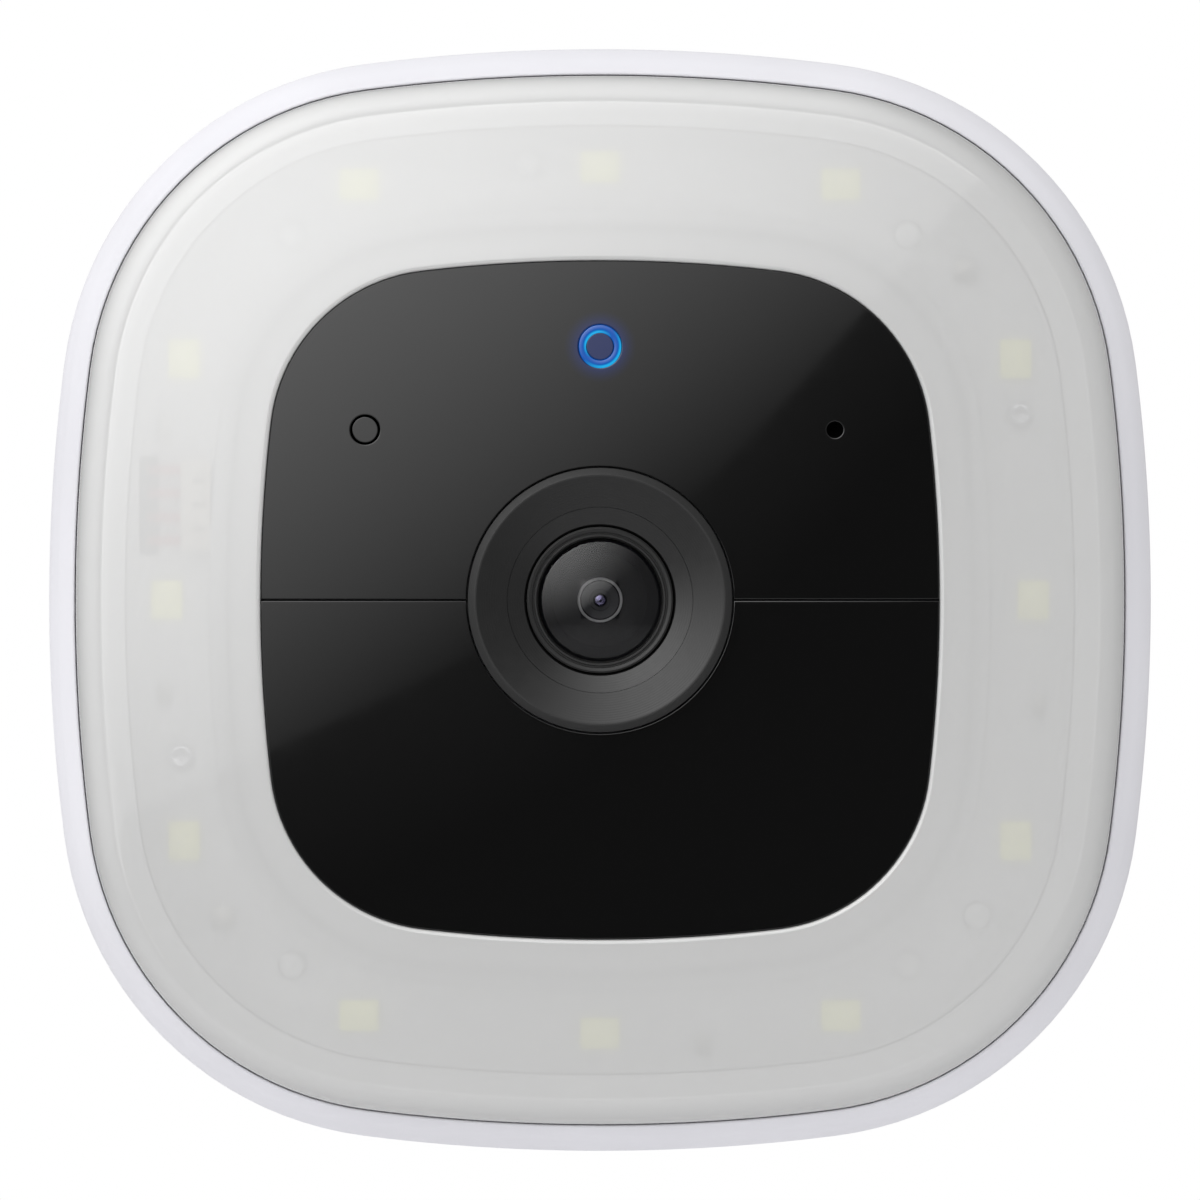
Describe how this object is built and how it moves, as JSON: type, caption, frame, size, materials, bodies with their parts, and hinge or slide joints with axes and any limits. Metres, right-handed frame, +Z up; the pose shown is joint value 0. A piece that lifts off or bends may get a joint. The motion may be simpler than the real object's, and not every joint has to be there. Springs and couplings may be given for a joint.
{
  "type": "floodlight security camera",
  "caption": "Battery security camera with a ring floodlight behind a rounded-square diffuser, on a lockable ball-joint wall bracket.",
  "frame": {"origin": "centre of the wall plate's back face, on the wall", "axes": "+Z up; +Y into the wall, so the camera looks along -Y; +X to the right as the camera's face is seen"},
  "size_m": [0.1, 0.1177, 0.1],
  "materials": {
    "housing_white": "fine moulded texture",
    "cover_grey": "soft matt",
    "diffuser": "frosted, translucent",
    "gloss_black": "polished",
    "satin_black": "satin",
    "lens_glass": "coated",
    "inner_glass": "coated",
    "aperture_grey": "matt",
    "status_blue": "lit light pipe",
    "smoked_window": "smoked, polished",
    "steel": "plated",
    "brass": "turned",
    "black_rubber": "moulded",
    "nut_black": "satin",
    "cup_nylon": "natural nylon",
    "frame_grey": "glass-filled nylon",
    "tray_white": "reflective white",
    "board_white": "white solder mask",
    "board_green": "solder mask",
    "led_phosphor": "phosphor in a white package",
    "board_parts": "mixed small components",
    "connector_ivory": "nylon",
    "sensor_dark": "ceramic package with a glass lid",
    "infrared_clear": "clear epoxy dome",
    "wire_red": "silicone insulation",
    "antenna_film": "copper trace on film",
    "cell_wrap": "shrink-wrapped cans",
    "speaker_black": "powder-coated frame and paper cone"
  },
  "bodies": {
    "bracket": {"wall_plate": "housing_white"},
    "lock_collar": {"lock_collar": "housing_white"},
    "friction_cup": {"friction_cup": "cup_nylon"},
    "ball_stud": {"ball_stud": "steel"},
    "lock_nut": {"lock_nut": "nut_black"},
    "head": {"rear_housing": "housing_white", "back_plate": "housing_white", "thread_insert": "brass", "front_bezel": "housing_white", "main_seal": "black_rubber", "chassis": "frame_grey", "housing_screws": "steel", "light_tray": "tray_white", "led_board": "board_white", "led_chips": "led_phosphor", "led_board_parts": "board_parts", "led_board_screws": "steel", "led_connector": "connector_ivory", "led_lead": "wire_red", "diffuser": "diffuser", "face_frame": "frame_grey", "face_panel": "gloss_black", "pir_window": "gloss_black", "lens_bezel": "satin_black", "lens_retainer": "satin_black", "lens_barrel": "satin_black", "front_lens": "lens_glass", "aperture_plate": "satin_black", "aperture_ring": "aperture_grey", "inner_lens": "inner_glass", "lens_holder": "satin_black", "image_sensor": "sensor_dark", "sensor_board": "board_green", "status_ring": "status_blue", "status_cap": "gloss_black", "light_sensor_window": "smoked_window", "mic_boot": "black_rubber", "face_board": "board_green", "face_board_parts": "board_parts", "infrared_leds": "infrared_clear", "pir_sensor": "steel", "pir_board": "board_green", "main_board": "board_green", "main_board_parts": "board_parts", "wifi_antenna": "antenna_film", "battery_cells": "cell_wrap", "battery_tray": "frame_grey", "battery_lead": "wire_red", "speaker": "speaker_black", "speaker_gasket": "black_rubber", "speaker_grille": "housing_white", "io_board": "board_green", "usb_socket": "steel", "sync_switch": "board_parts", "button_seal": "black_rubber"},
    "usb_cover": {"usb_cover": "cover_grey"},
    "sync_button": {"sync_button": "cover_grey"}
  },
  "joints": [
    {"name": "collar_turn", "type": "hinge", "parent": "bracket", "child": "lock_collar", "pos_m": [0, -0.022, 0], "axis": [0, -1, 0], "range_deg": [0, 180]},
    {"name": "pan", "type": "hinge", "parent": "bracket", "child": "friction_cup", "pos_m": [0, -0.022, 0], "axis": [0, 0, 1], "range_deg": [-30, 30]},
    {"name": "tilt", "type": "hinge", "parent": "friction_cup", "child": "ball_stud", "pos_m": [0, -0.022, 0], "axis": [1, 0, 0], "range_deg": [-30, 30]},
    {"name": "nut_turn", "type": "hinge", "parent": "ball_stud", "child": "lock_nut", "pos_m": [0, -0.044, 0], "axis": [0, -1, 0], "continuous": true},
    {"name": "head_roll", "type": "hinge", "parent": "ball_stud", "child": "head", "pos_m": [0, -0.047, 0], "axis": [0, -1, 0], "range_deg": [-180, 180]},
    {"name": "cover_hinge", "type": "hinge", "parent": "head", "child": "usb_cover", "pos_m": [0, -0.0476, -0.021], "axis": [-1, 0, 0], "range_deg": [0, 110]},
    {"name": "button_press", "type": "slide", "parent": "head", "child": "sync_button", "axis": [0, -1, 0], "range_m": [0, 0.0005], "stiffness_N_per_m": 250, "springref_m": -0.002}
  ]
}
